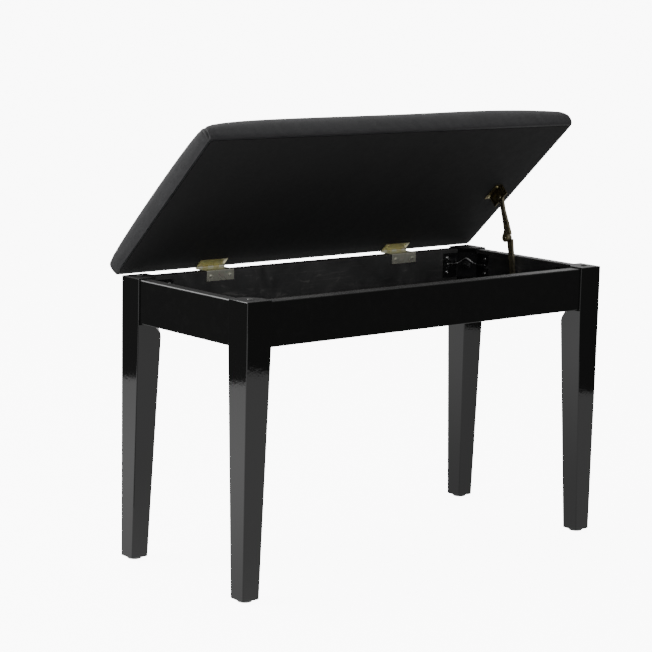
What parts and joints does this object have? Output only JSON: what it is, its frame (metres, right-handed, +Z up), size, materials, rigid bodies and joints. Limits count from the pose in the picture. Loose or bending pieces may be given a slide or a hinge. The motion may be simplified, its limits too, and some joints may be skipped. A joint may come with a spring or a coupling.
{
  "type": "piano bench",
  "caption": "Rectangular black piano bench with tapered square legs, a storage well in its rails and a padded hinged lid held open by a folding stay.",
  "frame": {"origin": "middle of the open bench's bounding box in X and Y, on the floor", "axes": "+X along the bench towards the stay, -Y towards the side where the lid opens, +Z up"},
  "size_m": [0.7584, 0.3484, 0.7024],
  "materials": {
    "piano_lacquer": "black high-gloss lacquer",
    "panel_black": "black painted board, satin",
    "lid_board": "black painted board, matte",
    "dust_cloth": "matte non-woven",
    "vinyl": "black vinyl-coated upholstery fabric, fine grain, over foam",
    "brass": "plated, satin",
    "old_brass": "antique plated",
    "black_steel": "gloss black",
    "nylon": "moulded",
    "bumper": "soft bumper"
  },
  "bodies": {
    "frame": {"leg_front_left": "piano_lacquer", "corner_bracket_front_left": "black_steel", "leg_bolt_front_left": "black_steel", "leg_nut_front_left": "black_steel", "foot_glide_front_left": "nylon", "lid_bumper_front_left": "bumper", "leg_front_right": "piano_lacquer", "corner_bracket_front_right": "black_steel", "leg_bolt_front_right": "black_steel", "leg_nut_front_right": "black_steel", "foot_glide_front_right": "nylon", "lid_bumper_front_right": "bumper", "leg_back_left": "piano_lacquer", "corner_bracket_back_left": "black_steel", "leg_bolt_back_left": "black_steel", "leg_nut_back_left": "black_steel", "foot_glide_back_left": "nylon", "lid_bumper_back_left": "bumper", "leg_back_right": "piano_lacquer", "corner_bracket_back_right": "black_steel", "leg_bolt_back_right": "black_steel", "leg_nut_back_right": "black_steel", "foot_glide_back_right": "nylon", "lid_bumper_back_right": "bumper", "rail_front": "piano_lacquer", "rail_back": "piano_lacquer", "rail_left": "piano_lacquer", "rail_right": "piano_lacquer", "bottom_panel": "panel_black", "hinge_lower_leaf_left": "brass", "hinge_pin_left": "brass", "hinge_rail_screw_left_a": "brass", "hinge_rail_screw_left_b": "brass", "hinge_lower_leaf_right": "brass", "hinge_pin_right": "brass", "hinge_rail_screw_right_a": "brass", "hinge_rail_screw_right_b": "brass", "stay_rail_plate": "old_brass", "stay_rail_rivet": "old_brass", "stay_rail_screw_a": "brass", "stay_rail_screw_b": "brass"},
    "lid": {"lid_board": "lid_board", "lid_dust_cover": "dust_cloth", "seat_cushion": "vinyl", "stay_lid_bracket": "old_brass", "stay_lid_screw_a": "brass", "stay_lid_screw_b": "brass", "stay_lid_rivet": "old_brass", "hinge_upper_leaf_left": "brass", "hinge_lid_screw_left_a": "brass", "hinge_lid_screw_left_b": "brass", "hinge_upper_leaf_right": "brass", "hinge_lid_screw_right_a": "brass", "hinge_lid_screw_right_b": "brass"},
    "stay_upper": {"stay_upper_arm": "old_brass", "stay_knuckle_rivet": "old_brass"},
    "stay_lower": {"stay_lower_arm": "old_brass"}
  },
  "joints": [
    {"name": "lid_hinge", "type": "hinge", "parent": "frame", "child": "lid", "pos_m": [0, 0.14774, 0.45065], "axis": [1, 0, 0], "range_deg": [0, 43.4]},
    {"name": "stay_upper_pivot", "type": "hinge", "parent": "lid", "child": "stay_upper", "pos_m": [0.334, 0.03054, 0.5465], "axis": [1, 0, 0], "range_deg": [-116.95, 0]},
    {"name": "stay_lower_pivot", "type": "hinge", "parent": "frame", "child": "stay_lower", "pos_m": [0.3393, -0.00146, 0.4015], "axis": [1, 0, 0], "range_deg": [0, 77.15]}
  ],
  "couplings": [
    {"joint": "stay_upper_pivot", "follows": "lid_hinge", "ratio": -2.6936},
    {"joint": "stay_lower_pivot", "follows": "lid_hinge", "ratio": 1.7765}
  ]
}
